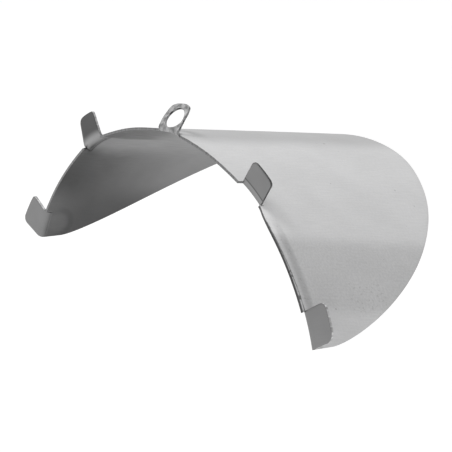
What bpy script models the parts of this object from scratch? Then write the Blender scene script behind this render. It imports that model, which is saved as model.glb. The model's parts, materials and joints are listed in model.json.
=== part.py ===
"""Sheet hood for a heat lamp: a half-round visor of bent aluminium sheet.

The hood covers the upper half of a round lamp shade's mouth. Four short tabs stand out from
its rim, where they lie on the shade's rim and are bent over it by hand, and a fifth tab at
the top has a hole and is the eye that the hood hangs by. All five are bent out of the same
sheet, so each one turns about its own bend line.

Frame: metres, +Z up. The rim is an arc in the plane Y = 0 with its highest point at the
origin, the lamp is on the -Y side, and the hood runs away from it along +Y, sloping down.
"""

import math

import bmesh
import bpy
from mathutils import Matrix, Vector

MM = 0.001

# Driving dimensions of the sheet
RIM_RADIUS = 132 * MM  # outer face of the sheet at the rim
SHEET = 1.4 * MM
RIM_END = math.radians(17)  # where the rim stops, above the horizontal
HOOD_DEPTH = 151.8 * MM  # rim to the far edge, along +Y, on the centre line
SLOPE = 0.264  # fall of the hood's axis for each metre of depth
FLARE = 0.088  # widening of the hood for each metre of depth, in rim radii
CORNER_RUN = 16.5 * MM  # straight edge at each lower corner
CORNER_SHARE = 0.0165  # how much of the half rim that straight edge cuts off
EDGE_FULLNESS = 2.01  # shape of the long curved edge
EDGE_SHARPNESS = 0.84

# Driving dimensions of the tabs
TAB_NOTCH = 5.3 * MM  # the sheet is cut back this far at each rim tab's root
EYE_NOTCH = 1.8 * MM  # and this far at the eye's root
GAP = 0.3 * MM  # clearance between touching pieces
SIDE_GAP = 0.7 * MM  # at each side of a tab's root, where the notch's sides slope down
BEND_RADIUS = SHEET  # outer radius of the bend at a tab's root
HINGE_REACH = BEND_RADIUS + 2 * GAP  # from a notch's floor to the tab's bend line
TAB_CORNER = 5 * MM
EYE_ANGLE = math.radians(90.7)  # round the rim, a little left of the crown
EYE_WIDTH = 17.8 * MM
EYE_HEIGHT = 18.6 * MM
EYE_CORNER = 5.5 * MM
EYE_HOLE_RADIUS = 6.8 * MM
EYE_HOLE_HEIGHT = 9.3 * MM  # centre of the hole above the bend line
EYE_LEAN = math.radians(27)  # backwards, from upright

# Each rim tab: name, root's two ends in degrees round the rim, and length from the bend line
RIM_TABS = (
    ("rim_tab_upper_right", 54.9, 62.8, 18.3 * MM),
    ("rim_tab_lower_right", 17.0, 26.2, 18.3 * MM),
    ("rim_tab_upper_left", 118.6, 126.8, 17.9 * MM),
    ("rim_tab_lower_left", 153.8, 163.0, 18.3 * MM),
)
EYE_HALF_ANGLE = math.asin((EYE_WIDTH / 2 + SIDE_GAP) / RIM_RADIUS)

# Mesh fineness
ROWS = 13  # from the tabs' notches to the far edge
COLUMN_STEP = math.radians(2.6)
CORNER_STEPS = 6  # in each rounded corner of a tab
ROUND_STEPS = 40  # round the eye's hole

RIM_CENTRE = Vector((0, 0, -RIM_RADIUS))
HALF_RIM = math.pi / 2 - RIM_END


def clear_scene():
    for old in list(bpy.data.objects):
        bpy.data.objects.remove(old, do_unlink=True)


def new_collection(name):
    collection = bpy.data.collections.new(name)
    bpy.context.scene.collection.children.link(collection)
    return collection


def aluminium(name, grey, roughness):
    material = bpy.data.materials.new(name)
    material.use_nodes = True
    shader = material.node_tree.nodes["Principled BSDF"]
    shader.inputs["Base Color"].default_value = (grey, grey, grey * 1.01, 1)
    shader.inputs["Metallic"].default_value = 1.0
    shader.inputs["Roughness"].default_value = roughness
    return material


def edge_depth(share):
    """Depth of the far edge, at a share of the way from a lower corner to the top."""
    rise = max(0, 1 - (1 - share) ** EDGE_FULLNESS) ** EDGE_SHARPNESS
    return CORNER_RUN + (HOOD_DEPTH - CORNER_RUN) * rise


def sheet_point(angle, depth):
    """Point on the sheet's outer face, at an angle round the rim and a depth behind it."""
    radius = RIM_RADIUS + FLARE * depth
    across = radius * math.cos(angle)
    up = radius * math.sin(angle) - SLOPE * depth
    return RIM_CENTRE + Vector((across, depth, up))


def hood_point(angle, row):
    """Point in a row of the grid, on the line that starts at an angle round the rim."""
    from_top = math.pi / 2 - angle
    share = max(0, 1 - abs(from_top) / HALF_RIM)
    end = edge_depth(share)
    front = (0, EYE_NOTCH, TAB_NOTCH)
    if row < len(front):
        depth = front[row]
    else:
        depth = TAB_NOTCH + (end - TAB_NOTCH) * (row - len(front) + 1) / ROWS
    along = max(0, (depth - EYE_NOTCH) / (end - EYE_NOTCH))
    here = share + along * CORNER_SHARE * (1 - share)
    return sheet_point(math.pi / 2 - math.copysign(1 - here, from_top) * HALF_RIM, depth)


def notches():
    """The notches where the tabs stand, right to left: two angles and a depth for each."""
    spans = [
        (math.radians(start), math.radians(end), TAB_NOTCH) for _, start, end, _ in RIM_TABS
    ]
    spans.append((EYE_ANGLE - EYE_HALF_ANGLE, EYE_ANGLE + EYE_HALF_ANGLE, EYE_NOTCH))
    return sorted(spans)


def column_angles():
    """Angles of the hood's columns of faces, with one at each side of every tab."""
    stops = [angle for start, end, _ in notches() for angle in (start, end)]
    angles = [stops[0]]
    for start, end in zip(stops, stops[1:]):
        steps = max(2, round((end - start) / COLUMN_STEP))
        angles += [start + (end - start) * step / steps for step in range(1, steps + 1)]
    return angles


def notch_depth(angle):
    return max((depth for start, end, depth in notches() if start < angle < end), default=0)


def make_hood_shell(collection):
    """The bent sheet, open at the notches where the tabs leave it."""
    angles = column_angles()
    rows = ROWS + 2
    bm = bmesh.new()
    bmesh.ops.create_grid(bm, x_segments=len(angles) - 1, y_segments=rows, size=1)
    for vert in bm.verts:
        column = round((vert.co.x + 1) / 2 * (len(angles) - 1))
        row = round((vert.co.y + 1) / 2 * rows)
        vert.co = hood_point(angles[column], row)
    cut = [
        face
        for face in bm.faces
        if max(v.co.y for v in face.verts) < notch_depth(angle_of(face)) * 1.01
    ]
    bmesh.ops.delete(bm, geom=cut, context="FACES")
    bmesh.ops.recalc_face_normals(bm, faces=bm.faces)
    if sum(face.normal.z for face in bm.faces) < 0:
        bmesh.ops.reverse_faces(bm, faces=bm.faces)
    mesh = bpy.data.meshes.new("hood_shell")
    bm.to_mesh(mesh)
    bm.free()
    shell = bpy.data.objects.new("hood_shell", mesh)
    collection.objects.link(shell)
    solid = shell.modifiers.new("sheet thickness", "SOLIDIFY")
    solid.thickness = SHEET
    solid.offset = -1
    solid.use_even_offset = True
    mesh.materials.append(aluminium("shell_sheet", 0.72, 0.42))
    return shell


def angle_of(face):
    centre = face.calc_center_median() - RIM_CENTRE
    return math.atan2(centre.z, centre.x)


def rounded_outline(width, height, corner):
    """Outline of a tab that stands on its bend line, with its two free corners rounded."""
    half = width / 2
    points = [(-half, 0)]
    for centre_x, first in ((-half + corner, math.pi), (half - corner, math.pi / 2)):
        for step in range(CORNER_STEPS + 1):
            turn = first - math.pi / 2 * step / CORNER_STEPS
            points.append((centre_x + corner * math.cos(turn),
                           height - corner + corner * math.sin(turn)))
    points.append((half, 0))
    return points


def circle_outline(radius, height):
    turns = [math.tau * step / ROUND_STEPS for step in range(ROUND_STEPS)]
    return [(radius * math.cos(turn), height + radius * math.sin(turn)) for turn in turns]


def flat_plate(name, outlines):
    """A plate of the sheet's thickness from closed outlines; the second one is a hole."""
    curve = bpy.data.curves.new(name, "CURVE")
    curve.dimensions = "2D"
    curve.fill_mode = "BOTH"
    curve.extrude = SHEET / 2
    for outline in outlines:
        spline = curve.splines.new("POLY")
        spline.points.add(len(outline) - 1)
        for point, (x, y) in zip(spline.points, outline):
            point.co = (x, y, 0, 1)
        spline.use_cyclic_u = True
    flat = bpy.data.objects.new(name, curve)
    bpy.context.scene.collection.objects.link(flat)
    depsgraph = bpy.context.evaluated_depsgraph_get()
    mesh = bpy.data.meshes.new_from_object(flat.evaluated_get(depsgraph))
    mesh.name = name
    bpy.data.objects.remove(flat, do_unlink=True)
    bm = bmesh.new()
    bm.from_mesh(mesh)
    bmesh.ops.remove_doubles(bm, verts=bm.verts, dist=0.00001)
    bm.to_mesh(mesh)
    bm.free()
    mesh.materials.clear()
    return bpy.data.objects.new(name, mesh)


def bend_bar(name, width, collection):
    """The round root of a tab, which lies along its bend line."""
    bpy.ops.mesh.primitive_cylinder_add(vertices=24, radius=BEND_RADIUS, depth=width)
    bar = bpy.context.object
    bar.name = name + "_bend"
    bar.data.transform(Matrix.Rotation(math.pi / 2, 4, "Y"))
    for holder in list(bar.users_collection):
        holder.objects.unlink(bar)
    collection.objects.link(bar)
    bar.hide_render = True
    bar.display_type = "WIRE"
    return bar


def make_tab(name, angle, setback, width, outlines, lean, parts, cutters):
    """A flat tab with a rounded root, on an empty that stands on its bend line."""
    outward = Vector((math.cos(angle), 0, math.sin(angle)))
    along = Vector((-math.sin(angle), 0, math.cos(angle)))
    upright = outward * math.cos(lean) + Vector((0, 1, 0)) * math.sin(lean)
    root = sheet_point(angle, setback) - outward * SHEET / 2
    hinge = bpy.data.objects.new(name + "_hinge", None)
    turn = Matrix((along, upright, along.cross(upright))).transposed()
    hinge.matrix_world = Matrix.Translation(root) @ turn.to_4x4()
    hinge.empty_display_size = width
    parts.objects.link(hinge)
    tab = flat_plate(name, outlines)
    parts.objects.link(tab)
    tab.parent = hinge
    tab.data.materials.append(aluminium(name + "_sheet", 0.66, 0.46))
    bar = bend_bar(name, width, cutters)
    bar.parent = hinge
    joined = tab.modifiers.new("bend", "BOOLEAN")
    joined.operation = "UNION"
    joined.solver = "EXACT"
    joined.object = bar
    return tab


def make_rim_tabs(parts, cutters):
    for name, start, end, length in RIM_TABS:
        middle = math.radians((start + end) / 2)
        half_angle = math.radians((end - start) / 2)
        width = 2 * (RIM_RADIUS * math.sin(half_angle) - SIDE_GAP)
        outline = rounded_outline(width, length, TAB_CORNER)
        setback = TAB_NOTCH - HINGE_REACH
        make_tab(name, middle, setback, width, [outline], 0, parts, cutters)


def make_hanging_eye(parts, cutters):
    outline = rounded_outline(EYE_WIDTH, EYE_HEIGHT, EYE_CORNER)
    hole = circle_outline(EYE_HOLE_RADIUS, EYE_HOLE_HEIGHT)
    setback = EYE_NOTCH - HINGE_REACH
    make_tab("hanging_eye", EYE_ANGLE, setback, EYE_WIDTH, [outline, hole], EYE_LEAN, parts,
             cutters)


def main():
    clear_scene()
    parts = new_collection("heat_lamp_hood")
    cutters = new_collection("cutters")
    cutters.hide_render = True
    make_hood_shell(parts)
    make_rim_tabs(parts, cutters)
    make_hanging_eye(parts, cutters)


main()
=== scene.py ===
"""Looks of the heat lamp hood: one bent aluminium sheet with four rim tabs and a hanging eye.

The hood, the tabs and the eye are closed meshes that share one description of the sheet, so
their surfaces meet without a step along the line where a tab leaves the hood. The hood rides on
its own body.

A place on the sheet is an angle round the rim, from the right end at 17 degrees over the top at
90 to the left end at 163, and a depth behind the rim. Right and left are as seen from the lamp.
"""

import json
import math

import bpy
import numpy as np
from mathutils import Matrix, Vector


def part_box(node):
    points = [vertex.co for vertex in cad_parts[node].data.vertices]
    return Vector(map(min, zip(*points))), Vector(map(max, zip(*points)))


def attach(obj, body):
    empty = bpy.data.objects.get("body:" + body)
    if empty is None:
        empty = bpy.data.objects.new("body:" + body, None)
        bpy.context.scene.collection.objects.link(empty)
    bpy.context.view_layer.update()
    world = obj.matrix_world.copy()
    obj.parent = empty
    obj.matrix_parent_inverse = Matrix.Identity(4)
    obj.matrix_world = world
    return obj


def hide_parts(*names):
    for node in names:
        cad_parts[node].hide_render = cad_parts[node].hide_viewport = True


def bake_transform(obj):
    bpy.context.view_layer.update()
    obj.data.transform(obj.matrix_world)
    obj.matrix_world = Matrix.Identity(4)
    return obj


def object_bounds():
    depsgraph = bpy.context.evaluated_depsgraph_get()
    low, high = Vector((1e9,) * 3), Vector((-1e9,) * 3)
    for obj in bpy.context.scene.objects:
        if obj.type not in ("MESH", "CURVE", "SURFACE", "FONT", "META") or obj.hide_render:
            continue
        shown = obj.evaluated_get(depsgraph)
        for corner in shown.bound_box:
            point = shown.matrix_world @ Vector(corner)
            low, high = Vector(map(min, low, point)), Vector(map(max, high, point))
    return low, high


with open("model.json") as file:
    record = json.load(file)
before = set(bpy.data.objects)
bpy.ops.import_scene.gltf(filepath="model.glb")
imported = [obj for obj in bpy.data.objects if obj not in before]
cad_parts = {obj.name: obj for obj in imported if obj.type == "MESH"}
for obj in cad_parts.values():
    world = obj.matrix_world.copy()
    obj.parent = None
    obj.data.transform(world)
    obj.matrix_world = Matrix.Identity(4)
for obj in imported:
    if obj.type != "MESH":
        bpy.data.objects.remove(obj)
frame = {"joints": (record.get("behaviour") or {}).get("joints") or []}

MM = 0.001
cad_low, cad_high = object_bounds()

# The sheet, in metres and radians, as the CAD has it
RIM_RADIUS = 132 * MM
SHEET = 1.4 * MM  # thickness
RIM_END = math.radians(17)
HALF_RIM = math.pi / 2 - RIM_END
HOOD_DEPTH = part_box("hood_shell")[1].y
SLOPE = 0.264  # fall of the hood's axis for each metre of depth
FLARE = 0.088  # growth of the hood's radius for each metre of depth
CORNER_RUN = 16.5 * MM  # straight edge at each lower corner
CORNER_SHARE = 0.0165  # how much of the half rim that straight edge cuts off
EDGE_FULLNESS = 2.01  # shape of the long curved edge
EDGE_SHARPNESS = 0.84
EYE_NOTCH = 1.8 * MM  # the eye leaves the sheet this far behind the rim

SLIT = 0.2 * MM  # at each side of a tab's root, where the CAD has a wider gap


class Tab:
    """One rim tab's shape, given in millimetres and degrees."""

    def __init__(self, start, end, length, root, bend, lean, corners, drift=(0, 0), twist=0,
                 slant=0, bulge=0):
        self.start, self.end = math.radians(start), math.radians(end)  # round the rim
        self.length = length * MM  # from the rim's plane
        self.root = root * MM  # depth of the line where the bend starts
        self.bend = bend * MM  # length of the bent strip
        self.lean = math.radians(lean)  # backwards from upright
        self.corners = [radius * MM for radius in corners]  # the free ones, right and left
        self.drift = [shift * MM for shift in drift]  # of those two corners to the left
        self.twist = math.radians(twist)  # how much further the left side leans back
        self.slant = slant * MM  # how much longer the left side is
        self.bulge = bulge * MM  # how far the rim stands off round the root


UPPER_RIGHT = Tab(54.8, 62.9, length=18.7, root=5.3, bend=3.4, lean=2, corners=(2.4, 2.6),
                  bulge=1.0)
LOWER_RIGHT = Tab(17.0, 26.6, length=18.2, root=3.9, bend=3.4, lean=6, corners=(5, 4.4),
                  drift=(3.1, 3.6), bulge=0.3)
UPPER_LEFT = Tab(120.4, 128.6, length=19, root=5.3, bend=6, lean=1, corners=(1.6, 3),
                 drift=(0, -2.9), twist=3, bulge=1.6)
LOWER_LEFT = Tab(154.9, 163.0, length=17.7, root=4.6, bend=5.5, lean=0, corners=(3, 3),
                 drift=(-2.8, -0.5), slant=2, bulge=0.6)
TABS = {
    "rim_tab_upper_right": UPPER_RIGHT,
    "rim_tab_lower_right": LOWER_RIGHT,
    "rim_tab_upper_left": UPPER_LEFT,
    "rim_tab_lower_left": LOWER_LEFT,
}

EYE_ANGLE = math.radians(90.7)
EYE_HALF_ANGLE = math.asin(8.9 * MM / RIM_RADIUS)
EYE_HOLE_RADIUS = 6.5 * MM
EYE_HOLE_HEIGHT = 10.2 * MM  # above the rim, along the eye
EYE_LEAN = math.radians(43)
EYE_BEND = 4.4 * MM
EYE_SHIFT = 0.9 * MM  # how far the hole stands to the left of the root's middle
# The eye's hand-cut outline from its right foot to its left one, in millimetres from the
# hole's centre: across to the left, and up
EYE_OUTLINE = (
    (-8.8, -6.5), (-8.0, -2.5), (-7.3, 1.5), (-6.7, 5.6), (-5.2, 9.0), (-2.1, 9.9),
    (2.5, 9.4), (6.5, 8.7), (8.9, 6.6), (9.6, 2.0), (9.6, -2.0), (8.7, -6.5),
)

# Marks of the bending: a groove behind the right rim, up to the angle where it fades
GROOVE_DEPTH = 6 * MM
GROOVE_WIDTH = 3 * MM
GROOVE_SINK = 0.5 * MM
GROOVE_TOP = math.radians(47)
GROOVE_FADE = math.radians(2.5)
# The sheet is raised round every root, and kicks out just below the upper right tab
ROOT_REACH = 9 * MM
TAB_REACH = 0.9  # sideways, in widths of the tab
TAB_BULGE_DEPTH = 2 * MM
EYE_BULGE = 1.0 * MM
EYE_REACH = 1.4  # sideways, in half widths of the eye
KICK = 0.5 * MM
KICK_ANGLE = math.radians(52)
KICK_SPREAD = math.radians(3.5)
KICK_REACH = 3.5 * MM
# There the rim's corner is also worn back
WEAR = 2 * MM
WEAR_SPREAD = math.radians(2.6)
# The slit above the lower right tab turns to run along that tab's slanting side
SLIT_TURN = math.radians(0.7)
SLIT_SPREAD = math.radians(4)
# Slight waves: height, then phase per radian of angle and per metre of depth, and its start
WAVES = ((0.16 * MM, 9, 0, 0.8), (0.10 * MM, 17, 30, 0))
WAVES_AT_RIM = 0.3  # part of that height at the rim; it grows by 1 over the hood's depth

# Mesh fineness. The front rows lie at these depths, one of them at the depth of each root
FRONT_DEPTHS = np.array([0, 0.6, 1.2, 1.8, 2.5, 3.2, 3.9, 4.6, 5.3, 6.3, 7.3, 8.4]) * MM
COLUMN_STEP = math.radians(0.8)
HOOD_ROWS = 60
HOOD_CROWDING = 1.2  # above 1, the hood's rows are closer together at the front
BEND_ROWS = 14
PLATE_ROWS = 16
PLATE_CROWDING = 0.8  # below 1, a tab's rows are closer together at its tip
TAB_COLUMNS = 16
EYE_ROWS = 12  # from the hole to the outline
EYE_STEPS = 5  # between two points of the eye's outline
ARC_STEPS = 48  # for summing up a bend's curve
REACH_STEPS = 400  # for finding its length up to the rim's plane
ANGLE_STEP = 1e-4  # in radians, for the slope of a surface
DEPTH_STEP = ANGLE_STEP * 0.1  # in metres, for the same
TINY = 1e-9  # a difference that counts as none
BEVEL = 0.15 * MM  # of the free edges

OUTER, INNER, EDGE = 0, 1, 2  # material slots of every piece


# ---------------------------------------------------------------- the sheet's surface


def bump(distance, width):
    """1 at no distance, and next to nothing from two widths on."""
    return np.exp(-((distance / width) ** 2))


def smooth_step(share):
    return share * share * (3 - 2 * share)


def unit(vectors):
    return vectors / np.linalg.norm(vectors, axis=-1, keepdims=True)


def relief(angle, depth):
    """How far the real sheet stands off its ideal surface: bending marks and slight waves."""
    groove = -GROOVE_SINK * bump(depth - GROOVE_DEPTH, GROOVE_WIDTH)
    groove = groove / (1 + np.exp((angle - GROOVE_TOP) / GROOVE_FADE))
    roots = EYE_BULGE * bump(angle - EYE_ANGLE, EYE_HALF_ANGLE * EYE_REACH)
    roots = roots * bump(depth, ROOT_REACH)
    roots = roots + KICK * bump(angle - KICK_ANGLE, KICK_SPREAD) * bump(depth, KICK_REACH)
    for tab in TABS.values():
        middle, width = (tab.start + tab.end) / 2, tab.end - tab.start
        near = bump(angle - middle, width * TAB_REACH)
        roots = roots + tab.bulge * near * bump(depth - TAB_BULGE_DEPTH, ROOT_REACH)
    waves = 0
    for height, round_rim, along, start in WAVES:
        waves = waves + height * np.sin(round_rim * angle + along * depth + start)
    return groove + roots + waves * (WAVES_AT_RIM + depth / HOOD_DEPTH)


def ideal_sheet(angle, depth):
    radius = RIM_RADIUS + FLARE * depth
    up = radius * np.sin(angle) - SLOPE * depth - RIM_RADIUS
    return np.stack([radius * np.cos(angle), depth + 0 * angle, up], -1)


def outward(surface, angle, depth):
    """Unit normal of a surface on the hood's outer side, by central differences."""
    round_rim = surface(angle + ANGLE_STEP, depth) - surface(angle - ANGLE_STEP, depth)
    along = surface(angle, depth + DEPTH_STEP) - surface(angle, depth - DEPTH_STEP)
    return unit(np.cross(along, round_rim))


def outer_face(angle, depth):
    rest = ideal_sheet(angle, depth)
    return rest + relief(angle, depth)[..., None] * outward(ideal_sheet, angle, depth)


def sheet_faces(angle, depth):
    """Points of the outer and inner faces, and the outer face's normals."""
    outer = outer_face(angle, depth)
    normal = outward(outer_face, angle, depth)
    return outer, outer - SHEET * normal, normal


def edge_depth(share):
    """Depth of the far edge, at a share of the way from a lower corner to the top."""
    rise = np.clip(1 - (1 - share) ** EDGE_FULLNESS, 0, 1) ** EDGE_SHARPNESS
    return CORNER_RUN + (HOOD_DEPTH - CORNER_RUN) * rise


def rim_share(angle):
    return np.clip(1 - np.abs(math.pi / 2 - angle) / HALF_RIM, 0, 1)


def column_angle(angle, depth):
    """Where the line that starts at an angle round the rim has got to at a depth."""
    share = rim_share(angle)
    along = np.clip((depth - EYE_NOTCH) / (edge_depth(share) - EYE_NOTCH), 0, 1)
    here = share + along * CORNER_SHARE * (1 - share)
    return math.pi / 2 + np.where(angle <= math.pi / 2, -1, 1) * (1 - here) * HALF_RIM


# ---------------------------------------------------------------- closed meshes


def closed_sheet(name, outer, inner, flat, keep, free, cyclic=False):
    """A closed piece from two grids of points, flat coordinates for its UVs, the cells to keep,
    and the points where a cut edge is a free one. A cyclic grid's last row joins its first."""
    index = np.arange(free.size).reshape(free.shape)
    back = free.size  # from an outer point's number to the inner one's
    if cyclic:
        index = np.concatenate([index, index[:, :1]], axis=1)
    kept = np.pad(keep, ((1, 1), (0, 0)))
    kept = np.pad(kept, ((0, 0), (1, 1)), mode="wrap" if cyclic else "constant")
    faces, slots, walls = [], [], []
    for i, j in np.argwhere(keep):
        ring = [index[i, j], index[i + 1, j], index[i + 1, j + 1], index[i, j + 1]]
        faces += [ring, [corner + back for corner in reversed(ring)]]
        slots += [OUTER, INNER]
        for side, (di, dj) in enumerate(((0, -1), (1, 0), (0, 1), (-1, 0))):
            if not kept[i + 1 + di, j + 1 + dj]:
                walls.append((ring[side], ring[(side + 1) % 4]))
    rims = {}
    for a, b in walls:
        faces.append([b, a, a + back, b + back])
        slots.append(EDGE)
        for rim in ((a, b), (a + back, b + back)):
            rims[rim] = free.flat[a] and free.flat[b]
    points = np.concatenate([outer.reshape(-1, 3), inner.reshape(-1, 3)])
    plan = np.concatenate([flat.reshape(-1, 2), flat.reshape(-1, 2)])
    return make_piece(name, points, plan, faces, slots, rims)


def make_piece(name, points, plan, faces, slots, rims):
    """An object with smooth faces, and sharp edges along the rims, bevelled where free."""
    used = np.unique(np.concatenate([np.array(face) for face in faces]))
    number = np.full(len(points), -1)
    number[used] = np.arange(len(used))
    mesh = bpy.data.meshes.new(name)
    mesh.from_pydata(points[used].tolist(), [], [[int(number[v]) for v in f] for f in faces])
    mesh.polygons.foreach_set("material_index", slots)
    mesh.polygons.foreach_set("use_smooth", [True] * len(faces))
    uv = mesh.uv_layers.new(name="sheet")
    corners = np.empty(len(mesh.loops), dtype=np.int32)
    mesh.loops.foreach_get("vertex_index", corners)
    uv.data.foreach_set("uv", plan[used][corners].astype(np.float32).ravel())
    is_free = {frozenset(number[list(rim)].tolist()): free for rim, free in rims.items()}
    sharp = mesh.attributes.new("sharp_edge", "BOOLEAN", "EDGE")
    weight = mesh.attributes.new("bevel_weight_edge", "FLOAT", "EDGE")
    for edge in mesh.edges:
        ends = frozenset(edge.vertices)
        if ends in is_free:
            sharp.data[edge.index].value = True
            weight.data[edge.index].value = 1.0 if is_free[ends] else 0.0
    mesh.validate()
    mesh.update()
    piece = bpy.data.objects.new(name, mesh)
    bpy.context.scene.collection.objects.link(piece)
    return piece


# ---------------------------------------------------------------- the hood


def root_spans():
    """Each root's two ends round the rim and its depth, from right to left."""
    eye = (EYE_ANGLE - EYE_HALF_ANGLE, EYE_ANGLE + EYE_HALF_ANGLE, EYE_NOTCH)
    return sorted([(tab.start, tab.end, tab.root) for tab in TABS.values()] + [eye])


def root_columns(start, end):
    """Angles of the columns that a tab and the hood share along the tab's root."""
    return np.linspace(start, end, TAB_COLUMNS + 1)


def hood_columns():
    """Every column's angle, and the depth of the notch in each gap between two columns."""
    slit = SLIT / RIM_RADIUS
    spans = root_spans()
    angles, notches = [], []
    for number, (start, end, root) in enumerate(spans):
        if number > 0:
            steps = max(2, round((start - slit - angles[-1]) / COLUMN_STEP))
            angles += np.linspace(angles[-1], start - slit, steps + 1)[1:].tolist()
            notches += [0] * steps + [root]
        angles += root_columns(start, end).tolist()
        notches += [root] * TAB_COLUMNS
        if number < len(spans) - 1:
            angles.append(end + slit)
            notches.append(root)
    return np.array(angles), np.array(notches)


def trim_rim(angle, depth):
    """The slanting slit above the lower right tab, and the worn rim below the upper right one."""
    slanted = bump(np.clip(angle - LOWER_RIGHT.end, 0, None), SLIT_SPREAD)
    slanted = slanted * np.clip(1 - depth / LOWER_RIGHT.root, 0, 1) * (angle > LOWER_RIGHT.end)
    angle = angle - SLIT_TURN * slanted
    worn = bump(angle - UPPER_RIGHT.start, WEAR_SPREAD) * (angle < UPPER_RIGHT.start)
    worn = worn * np.clip(1 - depth / UPPER_RIGHT.root, 0, 1)
    return angle, depth + WEAR * worn


def make_hood():
    angles, notches = hood_columns()
    along = np.linspace(0, 1, HOOD_ROWS + 1)[1:] ** HOOD_CROWDING
    deep = FRONT_DEPTHS[-1]
    body = deep + along * (edge_depth(rim_share(angles))[:, None] - deep)
    front = np.broadcast_to(FRONT_DEPTHS, (len(angles), len(FRONT_DEPTHS)))
    depth = np.concatenate([front, body], axis=1)
    angle, depth = trim_rim(column_angle(angles[:, None], depth), depth)
    outer, inner, _ = sheet_faces(angle, depth)
    flat = np.stack([RIM_RADIUS * angle, depth], -1)
    keep = np.ones((depth.shape[0] - 1, depth.shape[1] - 1), bool)
    keep[:, : len(FRONT_DEPTHS) - 1] = FRONT_DEPTHS[1:] > notches[:, None] + TINY
    free = np.ones(depth.shape, bool)
    for start, end, root in root_spans():
        in_span = (angles >= start - TINY) & (angles <= end + TINY)
        free &= ~(in_span[:, None] & (np.abs(depth - root) < TINY))
    hood = closed_sheet("hood_sheet", outer, inner, flat, keep, free)
    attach(hood, "hood")
    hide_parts("hood_shell")
    return hood


# ---------------------------------------------------------------- the tabs


class Bend:
    """The strip of sheet that leaves the hood at a tab's root and turns up through its bend. A
    point on it is a distance across, to the left, and a length from the root."""

    def __init__(self, name, start, end, root, length, lean, twist=0):
        joint = next(j for j in frame["joints"] if j["child"] == name)
        self.name = name
        self.origin = np.array(joint["pos_m"])
        self.tangent = np.array(joint["axis"])
        self.back = np.array([0.0, 1.0, 0.0])
        self.out = np.cross(self.back, self.tangent)
        self.root, self.length = root, length
        self.lean, self.twist = lean, twist
        self.angles = column_angle(root_columns(start, end), root)
        outer, inner, normal = sheet_faces(self.angles, np.full_like(self.angles, root))
        middle = (outer + inner) / 2
        self.across = (middle - self.origin) @ self.tangent
        heights = (middle - self.origin) @ self.out
        self.height, self.top = heights.mean(), heights.max()  # of the root, from the hinge line
        self.slope = self.tilt(normal).mean()

    def tilt(self, normal):
        """How far a normal of the sheet leans back from straight out."""
        return np.arctan2(normal @ self.back, normal @ self.out)

    def turned(self, share, first, last):
        """How far the strip leans back at a share of its length, from the first to the last."""
        return first + (last - first) * smooth_step(share)

    def length_to_rim_plane(self):
        """Length of strip from the root up to the height of the hinge line."""
        steps = np.linspace(0, 1, REACH_STEPS)
        rise = np.cumsum(np.sin(self.turned(steps, self.slope, math.pi / 2 + self.lean)))
        rise = self.height + rise * self.length / REACH_STEPS
        return float(np.interp(0, rise, steps * self.length))

    def faces(self, across, length):
        """Outer and inner points at distances across the tab and lengths from its root."""
        angle = np.interp(across, self.across, self.angles)
        outer, inner, normal = sheet_faces(angle, np.full_like(angle, self.root))
        middle = (outer + inner) / 2
        first = self.tilt(normal)
        centre, half = self.across.mean(), np.ptp(self.across) / 2
        last = math.pi / 2 + self.lean + self.twist * (1 + (across - centre) / half) / 2
        share = np.clip(length / self.length, 0, 1)
        steps = np.linspace(0, 1, ARC_STEPS + 1)
        turned = self.turned(share[..., None] * steps, first[..., None], last[..., None])
        run = np.trapz(np.cos(turned), steps, axis=-1) * share * self.length
        rise = np.trapz(np.sin(turned), steps, axis=-1) * share * self.length
        straight = np.clip(length - self.length, 0, None)
        run, rise = run + straight * np.cos(last), rise + straight * np.sin(last)
        beside = across - np.interp(angle, self.angles, self.across)  # past the root's ends
        place = middle - run[..., None] * self.back + rise[..., None] * self.out
        place = place + beside[..., None] * self.tangent
        end = turned[..., -1]
        sideways = (1 - smooth_step(share)) * (normal @ self.tangent)
        normal = np.sin(end)[..., None] * self.back + np.cos(end)[..., None] * self.out
        normal = unit(normal + sideways[..., None] * self.tangent)
        return place + SHEET / 2 * normal, place - SHEET / 2 * normal


def finish_tab(piece, bend):
    """Bakes a tab's piece into place and hides the CAD node that it stands for."""
    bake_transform(piece)
    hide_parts(bend.name)
    return piece


def make_rim_tab(name):
    tab = TABS[name]
    bend = Bend(name, tab.start, tab.end, tab.root, tab.bend, tab.lean, tab.twist)
    total = bend.length_to_rim_plane() + tab.length
    bent = np.linspace(0, bend.length, BEND_ROWS + 1)
    plate = np.linspace(0, 1, PLATE_ROWS + 1)[1:] ** PLATE_CROWDING
    lengths = np.concatenate([bent, bend.length + (total - bend.length) * plate])

    def inset(radius):
        """How far a side stands in from its line, for its rounded corner."""
        past = np.clip(lengths - (total - radius), 0, radius)
        return radius - np.sqrt(np.clip(radius**2 - past**2, 0, None))

    outwards = np.clip(lengths - bend.length / 2, 0, None) / (total - bend.length / 2)
    right, left = bend.across[0], bend.across[-1]
    share = ((bend.across - right) / (left - right))[:, None]
    right = right + inset(tab.corners[0]) + outwards * tab.drift[0]
    left = left - inset(tab.corners[1]) + outwards * tab.drift[1]
    across = (right + share * (left - right))[:, ::-1]  # from the tip to the root
    plate_share = np.clip((lengths - bend.length) / (total - bend.length), 0, 1)
    length = (lengths + tab.slant * share * plate_share)[:, ::-1]
    outer, inner = bend.faces(across, length)
    middle = RIM_RADIUS * (tab.start + tab.end) / 2
    flat = np.stack([middle + across, tab.root - length], -1)
    keep = np.ones((across.shape[0] - 1, across.shape[1] - 1), bool)
    free = np.ones(across.shape, bool)
    free[:, -1] = False
    piece = closed_sheet(name + "_sheet", outer, inner, flat, keep, free)
    return finish_tab(piece, bend)


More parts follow.
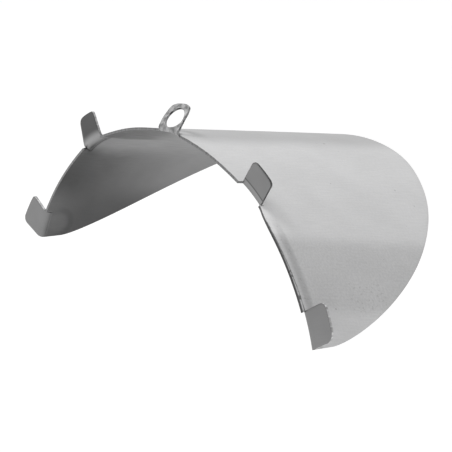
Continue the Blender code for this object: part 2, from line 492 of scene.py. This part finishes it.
def smooth_line(points, steps):
    """A Catmull-Rom curve through points, with steps between each two of them."""
    points = np.array([2 * points[0] - points[1], *points, 2 * points[-1] - points[-2]])
    t = np.arange(steps)[:, None] / steps
    curve = []
    for a, b, c, d in zip(points, points[1:], points[2:], points[3:]):
        turn = (2 * a - 5 * b + 4 * c - d) * t**2 + (3 * b - a - 3 * c + d) * t**3
        curve.append((2 * b + (c - a) * t + turn) / 2)
    return np.concatenate(curve + [points[-2:-1]])


def make_eye():
    start, end = EYE_ANGLE - EYE_HALF_ANGLE, EYE_ANGLE + EYE_HALF_ANGLE
    bend = Bend("hanging_eye", start, end, EYE_NOTCH, EYE_BEND, EYE_LEAN)
    centre = np.array([EYE_SHIFT, bend.length_to_rim_plane() + EYE_HOLE_HEIGHT])
    foot = np.stack([bend.across, np.zeros_like(bend.across)], -1)
    sides = np.array(EYE_OUTLINE) * MM + centre
    over = smooth_line(np.array([foot[0], *sides, foot[-1]]), EYE_STEPS)
    outline = np.concatenate([foot, over[::-1][1:-1]])
    hole = centre + EYE_HOLE_RADIUS * unit(outline - centre)
    shares = np.linspace(0, 1, EYE_ROWS + 1)[:, None, None]
    grid = hole + (outline - hole) * shares
    outer, inner = bend.faces(grid[..., 0], grid[..., 1])
    flat = np.stack([RIM_RADIUS * EYE_ANGLE + grid[..., 0], EYE_NOTCH - grid[..., 1]], -1)
    keep = np.ones((EYE_ROWS, len(outline)), bool)
    free = np.ones(grid.shape[:2], bool)
    free[-1, : len(foot)] = False
    piece = closed_sheet("hanging_eye_sheet", outer, inner, flat, keep, free, cyclic=True)
    return finish_tab(piece, bend)


# ---------------------------------------------------------------- materials

# In the materials an angle round the rim is in degrees, and a depth in millimetres. A tab's
# depths go on from its root's, down to less than 0. A zone has a start, an end, and a width
# over which it fades at both.
UPPER_RIGHT_ANGLES = (50, 68, 1)
UPPER_LEFT_ANGLES = (119, 129, 1.5)
# On the outer face
RIM_DARK_ANGLES = (20, 45, 8)
RIM_DARK_ABOVE_TAB_ANGLES = (64, 84, 2)
# Depths of the painted shade in the groove behind the right rim
GROOVE_SHADE_DEPTHS = (5.4, 7.4, 2.6)
# A band of painted shade low on the right of the outer face
LOW_RIGHT_SHADE_ANGLES = (29.5, 43, 4.5)
SCUFF_ANGLES = (28, 33, 3)
SCUFF_DEPTHS = (40, 58, 8)
# A painted highlight on the bump below the upper right tab
KICK_HIGHLIGHT_ANGLES = (48, 52.5, 4)
# On the inner face
CREASE_SHADE_DEPTHS = (4.6, 6.0, 1.6)
BEND_HIGHLIGHT_DEPTHS = (0.4, 3, 0.6)
FOLD_SHADOW_DEPTHS = (-0.5, -0.1, 0.4)
PAINTED_DENT_ANGLE = 158
PAINTED_DENT_DEPTH = 11
# Its painted shade and reflections change from one part to the next between two angles
CROWN_SHADE_START = (76, 92)
LIGHT_STRIP_START = (117.9, 119.4)  # the crown shade's end, and the start of the painted light strip behind a tab
LIGHT_STRIP_END = (123.5, 131.5)
LOWER_LEFT_START = (141, 152)

NOISE_LOW, NOISE_HIGH = 0.3, 0.7  # nearly all of a noise lies between these
BUMP_STRENGTH = 0.15
BLUE_TINT = 1.005  # aluminium is very slightly blue


class Coat:
    """A metal material whose tone is worked out with nodes from the place on the sheet."""

    def __init__(self, name, metallic=1.0):
        self.material = bpy.data.materials.new(name)
        self.material.use_nodes = True
        self.nodes = self.material.node_tree.nodes
        self.links = self.material.node_tree.links
        self.shader = self.nodes["Principled BSDF"]
        self.shader.inputs["Metallic"].default_value = metallic
        plan = self.nodes.new("ShaderNodeUVMap")
        plan.uv_map = "sheet"
        self.plan = plan.outputs["UV"]
        split = self.nodes.new("ShaderNodeSeparateXYZ")
        self.links.new(self.plan, split.inputs["Vector"])
        self.angle = self.times(split.outputs["X"], 1 / math.radians(RIM_RADIUS))  # degrees
        self.depth = self.times(split.outputs["Y"], 1 / MM)  # millimetres behind the rim

    def put(self, value, socket):
        if isinstance(value, (int, float)):
            socket.default_value = value
        else:
            self.links.new(value, socket)

    def calculate(self, operation, *values):
        node = self.nodes.new("ShaderNodeMath")
        node.operation = operation
        for value, socket in zip(values, node.inputs):
            self.put(value, socket)
        return node.outputs["Value"]

    def sum(self, a, b):
        return self.calculate("ADD", a, b)

    def times(self, a, *others):
        for other in others:
            a = self.calculate("MULTIPLY", a, other)
        return a

    def ramp(self, value, start, end, low=0.0, high=1.0):
        """Goes smoothly from low to high while the value goes from start to end."""
        node = self.nodes.new("ShaderNodeMapRange")
        node.interpolation_type = "SMOOTHSTEP"
        for number, socket in zip((value, start, end, low, high), node.inputs):
            self.put(number, socket)
        return node.outputs["Result"]

    def fall(self, value, start, end):
        """1 up to the start and 0 from the end on."""
        return self.ramp(value, start, end, 1.0, 0.0)

    def band(self, value, start, end, soft):
        """1 from the start to the end, and 0 from `soft` beyond them."""
        return self.times(self.ramp(value, start - soft, start), self.fall(value, end, end + soft))

    def mix(self, a, b, share):
        """a where the share is 0 and b where it is 1."""
        node = self.nodes.new("ShaderNodeMix")
        sockets = (node.inputs[0], node.inputs[2], node.inputs[3])  # the ones for plain numbers
        for value, socket in zip((share, a, b), sockets):
            self.put(value, socket)
        return node.outputs[0]

    def mark(self, tone, share):
        """A factor of the tone where the share is 1, which changes nothing where it is 0."""
        return self.mix(1.0, tone, share)

    def noise(self, scale, detail=3.0, stretch=(1, 1, 1)):
        mapping = self.nodes.new("ShaderNodeMapping")
        mapping.inputs["Scale"].default_value = stretch
        texture = self.nodes.new("ShaderNodeTexNoise")
        texture.inputs["Scale"].default_value = scale
        texture.inputs["Detail"].default_value = detail
        self.links.new(self.plan, mapping.inputs["Vector"])
        self.links.new(mapping.outputs["Vector"], texture.inputs["Vector"])
        return texture.outputs["Fac"]

    def grain(self):
        """Fine rolling grain, drawn out along the depth."""
        return self.noise(1300, 4, (1, 0.06, 1))

    def spread(self, noise, low, high):
        return self.ramp(noise, NOISE_LOW, NOISE_HIGH, low, high)

    def finish(self, grey, tone, roughness, pattern, height=0.02 * MM):
        """The material: its grey scaled by the tone, and the pattern as bumps of a height."""
        colour = self.nodes.new("ShaderNodeVectorMath")
        colour.operation = "SCALE"
        colour.inputs[0].default_value = (grey, grey, grey * BLUE_TINT)
        self.links.new(tone, colour.inputs["Scale"])
        self.links.new(colour.outputs["Vector"], self.shader.inputs["Base Color"])
        self.links.new(roughness, self.shader.inputs["Roughness"])
        bumps = self.nodes.new("ShaderNodeBump")
        bumps.inputs["Strength"].default_value = BUMP_STRENGTH
        bumps.inputs["Distance"].default_value = height
        self.links.new(pattern, bumps.inputs["Height"])
        self.links.new(bumps.outputs["Normal"], self.shader.inputs["Normal"])
        return self.material


def right_rim_dark_marks(coat):
    """Where the outer face is darker along the right rim: dark lines along the edge, and blots
    between them.
    """
    reach = coat.sum(coat.ramp(coat.angle, 52, 24, 0.0, 1.45), coat.noise(500, 2, (1, 0, 1)))
    past = coat.sum(coat.depth, coat.times(reach, -1))
    line = coat.times(coat.band(past, -0.35, 0.1, 0.2), coat.spread(coat.noise(300, 2), 0.5, 1))
    line = coat.sum(line, coat.fall(coat.depth, 0.3, 0.65))
    blots = coat.ramp(coat.noise(330, 3, (0.5, 0, 1)), 0.53, 0.6)
    blots = coat.times(blots, coat.fall(past, 0.0, 0.4))
    above_tab = coat.times(coat.band(coat.angle, *RIM_DARK_ABOVE_TAB_ANGLES), 0.5)
    stretch = coat.sum(coat.band(coat.angle, *RIM_DARK_ANGLES), above_tab)
    return coat.ramp(coat.times(stretch, coat.sum(line, blots)), 0.0, 1.0)


def outer_coat():
    """Clean rolled aluminium with faint grain. It has painted shade from the crown down the left
    and in a band low on the right, which has a few scuffs. The groove behind the right rim has
    painted shade and grime blots, and a painted highlight lies on the bump below the upper right
    tab."""
    coat = Coat("outer_face", metallic=0.45)
    grain, clouds = coat.grain(), coat.noise(30, 3)
    # Painted shade from the crown down the left side, weaker near the rim
    left = coat.times(coat.ramp(coat.angle, 79, 88), coat.ramp(coat.depth, 0, 20, 0.6, 1.0))
    # Painted shade along the groove behind the right rim, with darker noise blots in it
    groove = coat.times(coat.band(coat.depth, *GROOVE_SHADE_DEPTHS), coat.fall(coat.angle, 44, 54))
    grime = coat.times(groove, coat.ramp(coat.noise(520, 3, (1, 0.7, 1)), 0.60, 0.68))
    specks = coat.ramp(coat.noise(260, 2), 0.73, 0.78)
    # Painted highlight on the bump below the upper right tab, lifting the shade of its lower flank
    kick_highlight = coat.times(coat.band(coat.angle, *KICK_HIGHLIGHT_ANGLES), coat.fall(coat.depth, 4, 17))
    scuffed = coat.times(
        coat.band(coat.angle, *SCUFF_ANGLES), coat.band(coat.depth, *SCUFF_DEPTHS)
    )
    scuffs = coat.times(scuffed, coat.ramp(coat.noise(640, 2, (1, 0.7, 1)), 0.58, 0.68))
    # A band of painted shade low on the right, with a stronger mottle in it
    low_right_shade = coat.band(coat.angle, *LOW_RIGHT_SHADE_ANGLES)
    mottle = coat.spread(coat.noise(800, 2), -1.0, 1.0)
    tone = coat.times(
        coat.mark(0.84, scuffs),
        coat.mark(0.86, low_right_shade),
        coat.spread(clouds, 0.975, 1.025),
        coat.spread(grain, 0.972, 1.028),
        coat.sum(coat.times(mottle, coat.mix(0.02, 0.045, low_right_shade)), 1.0),
        # the left side's painted shade
        coat.mark(coat.ramp(coat.angle, 104, 122, 0.78, 0.72), left),
        # the painted highlight below the upper right tab
        coat.mark(1.2, kick_highlight),
        # the painted shade in the groove
        coat.mark(0.80, groove),
        coat.mark(0.82, grime),
        coat.mark(0.32, right_rim_dark_marks(coat)),
        coat.mark(0.75, specks),
    )
    roughness = coat.sum(coat.spread(grain, 0.58, 0.64), coat.times(specks, 0.15))
    return coat.finish(0.72, tone, roughness, grain)


def tab_tone(coat, hood_painted_tone):
    """A tab's inner face: the hood's painted shade at its root, plainer further out. The upper
    left tab has painted shade past a painted highlight on its bend; the upper right one's bend has
    a painted highlight and a painted shadow in its fold."""
    far_out = coat.fall(coat.depth, -3.5, 1.0)
    upper_left = coat.band(coat.angle, *UPPER_LEFT_ANGLES)
    # Painted light and shade on the upper left tab: a bright bend, dark further out
    painted_light = coat.mix(0.97, coat.mix(1.25, 0.40, far_out), upper_left)
    tone = coat.mix(hood_painted_tone, painted_light, coat.fall(coat.depth, 1.5, 4.8))
    upper_right = coat.band(coat.angle, *UPPER_RIGHT_ANGLES)
    # A painted highlight on the upper right tab's bend, and a painted shadow in its fold
    bend = coat.times(upper_right, coat.band(coat.depth, *BEND_HIGHLIGHT_DEPTHS))
    fold_shadow = coat.times(upper_right, coat.band(coat.depth, *FOLD_SHADOW_DEPTHS))
    return coat.times(tone, coat.mark(1.25, bend), coat.mark(0.5, fold_shadow))


def painted_dent_tone(coat):
    """A painted highlight behind the lower left tab, with a ring of painted shade on its far side,
    as on a dent.
    """
    inwards = coat.sum(coat.depth, -PAINTED_DENT_DEPTH)
    round_rim = coat.times(coat.sum(coat.angle, -PAINTED_DENT_ANGLE), math.radians(RIM_RADIUS) / MM)
    squared = coat.sum(coat.times(inwards, inwards), coat.times(round_rim, round_rim))
    # The ring of painted shade on the far side
    ring = coat.times(coat.band(squared, 80, 110, 50), coat.ramp(coat.depth, 6, 14))
    return coat.times(coat.mark(1.2, coat.fall(squared, 10, 90)), coat.mark(0.88, ring))


def inner_coat(name, on_tab):
    """The inner side, with painted shade and reflections: dark behind the rim and paler towards
    the far edge, except in the lower left corner, and a painted light strip behind the upper left
    tab."""
    coat = Coat(name)
    grain, clouds = coat.grain(), coat.noise(38, 3)
    wander = coat.times(coat.sum(clouds, -0.5), 7)  # makes the borders of the painted shade and reflections uneven
    angle = coat.sum(coat.angle, wander)
    depth = coat.sum(coat.depth, coat.times(wander, 2))
    # Painted shade and reflections: dark behind the rim, paler towards the far edge
    sides = coat.ramp(depth, 4, 92, 0.22, 0.82)
    # In the lower left corner the painted reflection is lighter at the rim and darker behind it
    lower_left = coat.ramp(depth, 0, 32, 0.60, 0.42)
    tone = coat.mix(sides, lower_left, coat.ramp(angle, *LOWER_LEFT_START))
    # A strip of painted light behind the upper left tab
    painted_light = coat.times(coat.ramp(coat.angle, *LIGHT_STRIP_START), coat.fall(angle, *LIGHT_STRIP_END))
    tone = coat.mix(tone, 0.84, coat.times(painted_light, 0.95))
    # Painted shade along the crown
    crown_shade = coat.times(coat.fall(coat.angle, *LIGHT_STRIP_START), coat.ramp(angle, *CROWN_SHADE_START))
    tone = coat.mix(tone, coat.ramp(depth, 28, 56, 0.27, 0.8), crown_shade)
    if on_tab:
        tone = tab_tone(coat, tone)
    upper_left = coat.band(coat.angle, *UPPER_LEFT_ANGLES)
    # Painted shade in the crease along the upper left tab's root
    crease_shade = coat.times(coat.band(coat.depth, *CREASE_SHADE_DEPTHS), upper_left)
    tone = coat.times(
        tone,
        coat.mark(0.55, crease_shade),
        painted_dent_tone(coat),
        coat.spread(clouds, 0.96, 1.04),
        coat.spread(grain, 0.97, 1.03),
    )
    # The dark grey is partly the inner side's own darker finish and partly painted shade
    return coat.finish(0.235, tone, coat.spread(grain, 0.33, 0.41), grain)


def edge_coat():
    """Cut edges: rough, with painted shade down the right side of the rim and on the upper right
    tab, and painted glints on the other tabs."""
    coat = Coat("sheared_edge")
    flecks = coat.noise(700, 4)
    # Painted glints on the tabs' edges, painted shade on the upper right tab's
    tab_edge_light = coat.mix(2.0, 0.45, coat.band(coat.angle, *UPPER_RIGHT_ANGLES))
    # Painted shade on the rim's edge, deepest down the right side
    rim_edge_shade = coat.ramp(coat.angle, 46, 58, 0.3, 0.9)
    edge_light_and_shade = coat.mix(tab_edge_light, rim_edge_shade, coat.ramp(coat.depth, -1, 0))
    tone = coat.times(coat.spread(flecks, 0.6, 1.35), edge_light_and_shade)
    return coat.finish(0.30, tone, coat.spread(flecks, 0.35, 0.65), flecks, 0.2 * MM)


def eye_face_lit_coat():
    """The hanging eye's face: painted lighter than the rest of the inner side where light falls on
    it, in random bright and dark patches.
    """
    coat = Coat("eye_face", metallic=0.6)
    patches = coat.noise(330, 3)
    # Streaky random patches
    scuffs = coat.noise(900, 3, (1, 0.4, 1))
    tone = coat.times(coat.spread(patches, 0.55, 1.3), coat.spread(scuffs, 0.85, 1.15))
    return coat.finish(0.38, tone, coat.spread(patches, 0.48, 0.64), patches, 0.3 * MM)


def eye_edge_coat():
    """The eye's cut edges, blotched from nearly black to bright as painted shade and glints on the
    hole's wall.
    """
    coat = Coat("eye_edge")
    patches = coat.noise(300, 3)
    tone = coat.spread(patches, 0.2, 1.6)
    return coat.finish(0.3, tone, coat.spread(patches, 0.3, 0.6), patches, 0.3 * MM)


def dress(piece, materials):
    for material in materials:
        piece.data.materials.append(material)
    edge = piece.modifiers.new("sheared edge", "BEVEL")
    edge.limit_method = "WEIGHT"
    edge.width = BEVEL
    edge.segments = 2
    edge.use_clamp_overlap = True
    edge.harden_normals = False


# ---------------------------------------------------------------- stage, light and camera

FLOOR_SIZE = 14
FLOOR_GAP = 0.22  # below the CAD's lowest point
# The floor glows more with its distance from the origin, to look as white there: the distances
# where that starts and ends, and the glow there
GLOW = {"From Min": 0.3, "From Max": 1.9, "To Min": 0.14, "To Max": 0.27}


def make_floor():
    bpy.ops.mesh.primitive_plane_add(size=FLOOR_SIZE, location=(0, 0, cad_low.z - FLOOR_GAP))
    floor = bpy.context.object
    floor.name = "floor"
    paper = bpy.data.materials.new("paper")
    paper.use_nodes = True
    nodes, links = paper.node_tree.nodes, paper.node_tree.links
    shader = nodes["Principled BSDF"]
    shader.inputs["Base Color"].default_value = (0.96, 0.96, 0.96, 1)
    shader.inputs["Roughness"].default_value = 0.9
    shader.inputs["Emission Color"].default_value = (1, 1, 1, 1)
    glow = nodes.new("ShaderNodeMapRange")
    for socket, number in GLOW.items():
        glow.inputs[socket].default_value = number
    place = nodes.new("ShaderNodeNewGeometry")
    distance = nodes.new("ShaderNodeVectorMath")
    distance.operation = "LENGTH"
    links.new(place.outputs["Position"], distance.inputs[0])
    links.new(distance.outputs["Value"], glow.inputs["Value"])
    links.new(glow.outputs["Result"], shader.inputs["Emission Strength"])
    floor.data.materials.append(paper)


def direction(azimuth, elevation):
    """Unit vector towards a place at these angles in degrees. Azimuth 0 is along -Y."""
    a, e = math.radians(azimuth), math.radians(elevation)
    return Vector((math.sin(a) * math.cos(e), -math.cos(a) * math.cos(e), math.sin(e)))


def soft_light(name, size, power, azimuth, elevation, distance, target):
    """A round light that the camera doesn't see, aimed at the target."""
    lamp = bpy.data.lights.new(name, "AREA")
    lamp.shape = "DISK"
    lamp.size = size
    lamp.energy = power
    light = bpy.data.objects.new(name, lamp)
    back = direction(azimuth, elevation)
    light.location = target + back * distance
    light.rotation_euler = (-back).to_track_quat("-Z", "Y").to_euler()
    light.visible_camera = False
    bpy.context.scene.collection.objects.link(light)


def make_lights(target):
    world = bpy.data.worlds.new("studio")
    world.use_nodes = True
    sky = world.node_tree.nodes["Background"]
    sky.inputs["Color"].default_value = (1, 1, 1, 1)
    sky.inputs["Strength"].default_value = 0.50
    bpy.context.scene.world = world
    soft_light("key_light", size=1.2, power=36, azimuth=-30, elevation=66, distance=2.6,
               target=target)
    soft_light("back_light", size=4.0, power=10, azimuth=198, elevation=36, distance=3.0,
               target=target)


def make_camera(target):
    """Telephoto camera, a little above the hood and in front of its right side."""
    back = direction(azimuth=50.62, elevation=16.83)
    distance = 1.846
    roll = math.radians(1.65)
    data = bpy.data.cameras.new("camera")
    data.sensor_width = 36
    data.lens = 254.9
    data.clip_end = 50
    camera = bpy.data.objects.new("camera", data)
    camera.matrix_world = (
        Matrix.Translation(target + back * distance)
        @ (-back).to_track_quat("-Z", "Y").to_matrix().to_4x4()
        @ Matrix.Rotation(roll, 4, "Z")
    )
    bpy.context.scene.collection.objects.link(camera)
    bpy.context.scene.camera = camera


def main():
    middle = Vector((3.0 * MM, 39.4 * MM, -60.8 * MM))  # of the camera's view
    make_camera(middle)
    outer = outer_coat()
    edge = edge_coat()
    dress(make_hood(), (outer, inner_coat("inner_face", on_tab=False), edge))
    tab_inner = inner_coat("tab_inner_face", on_tab=True)
    for name in TABS:
        dress(make_rim_tab(name), (outer, tab_inner, edge))
    dress(make_eye(), (outer, eye_face_lit_coat(), eye_edge_coat()))
    make_floor()
    make_lights(middle)
    bpy.context.scene.view_settings.view_transform = "Standard"


main()
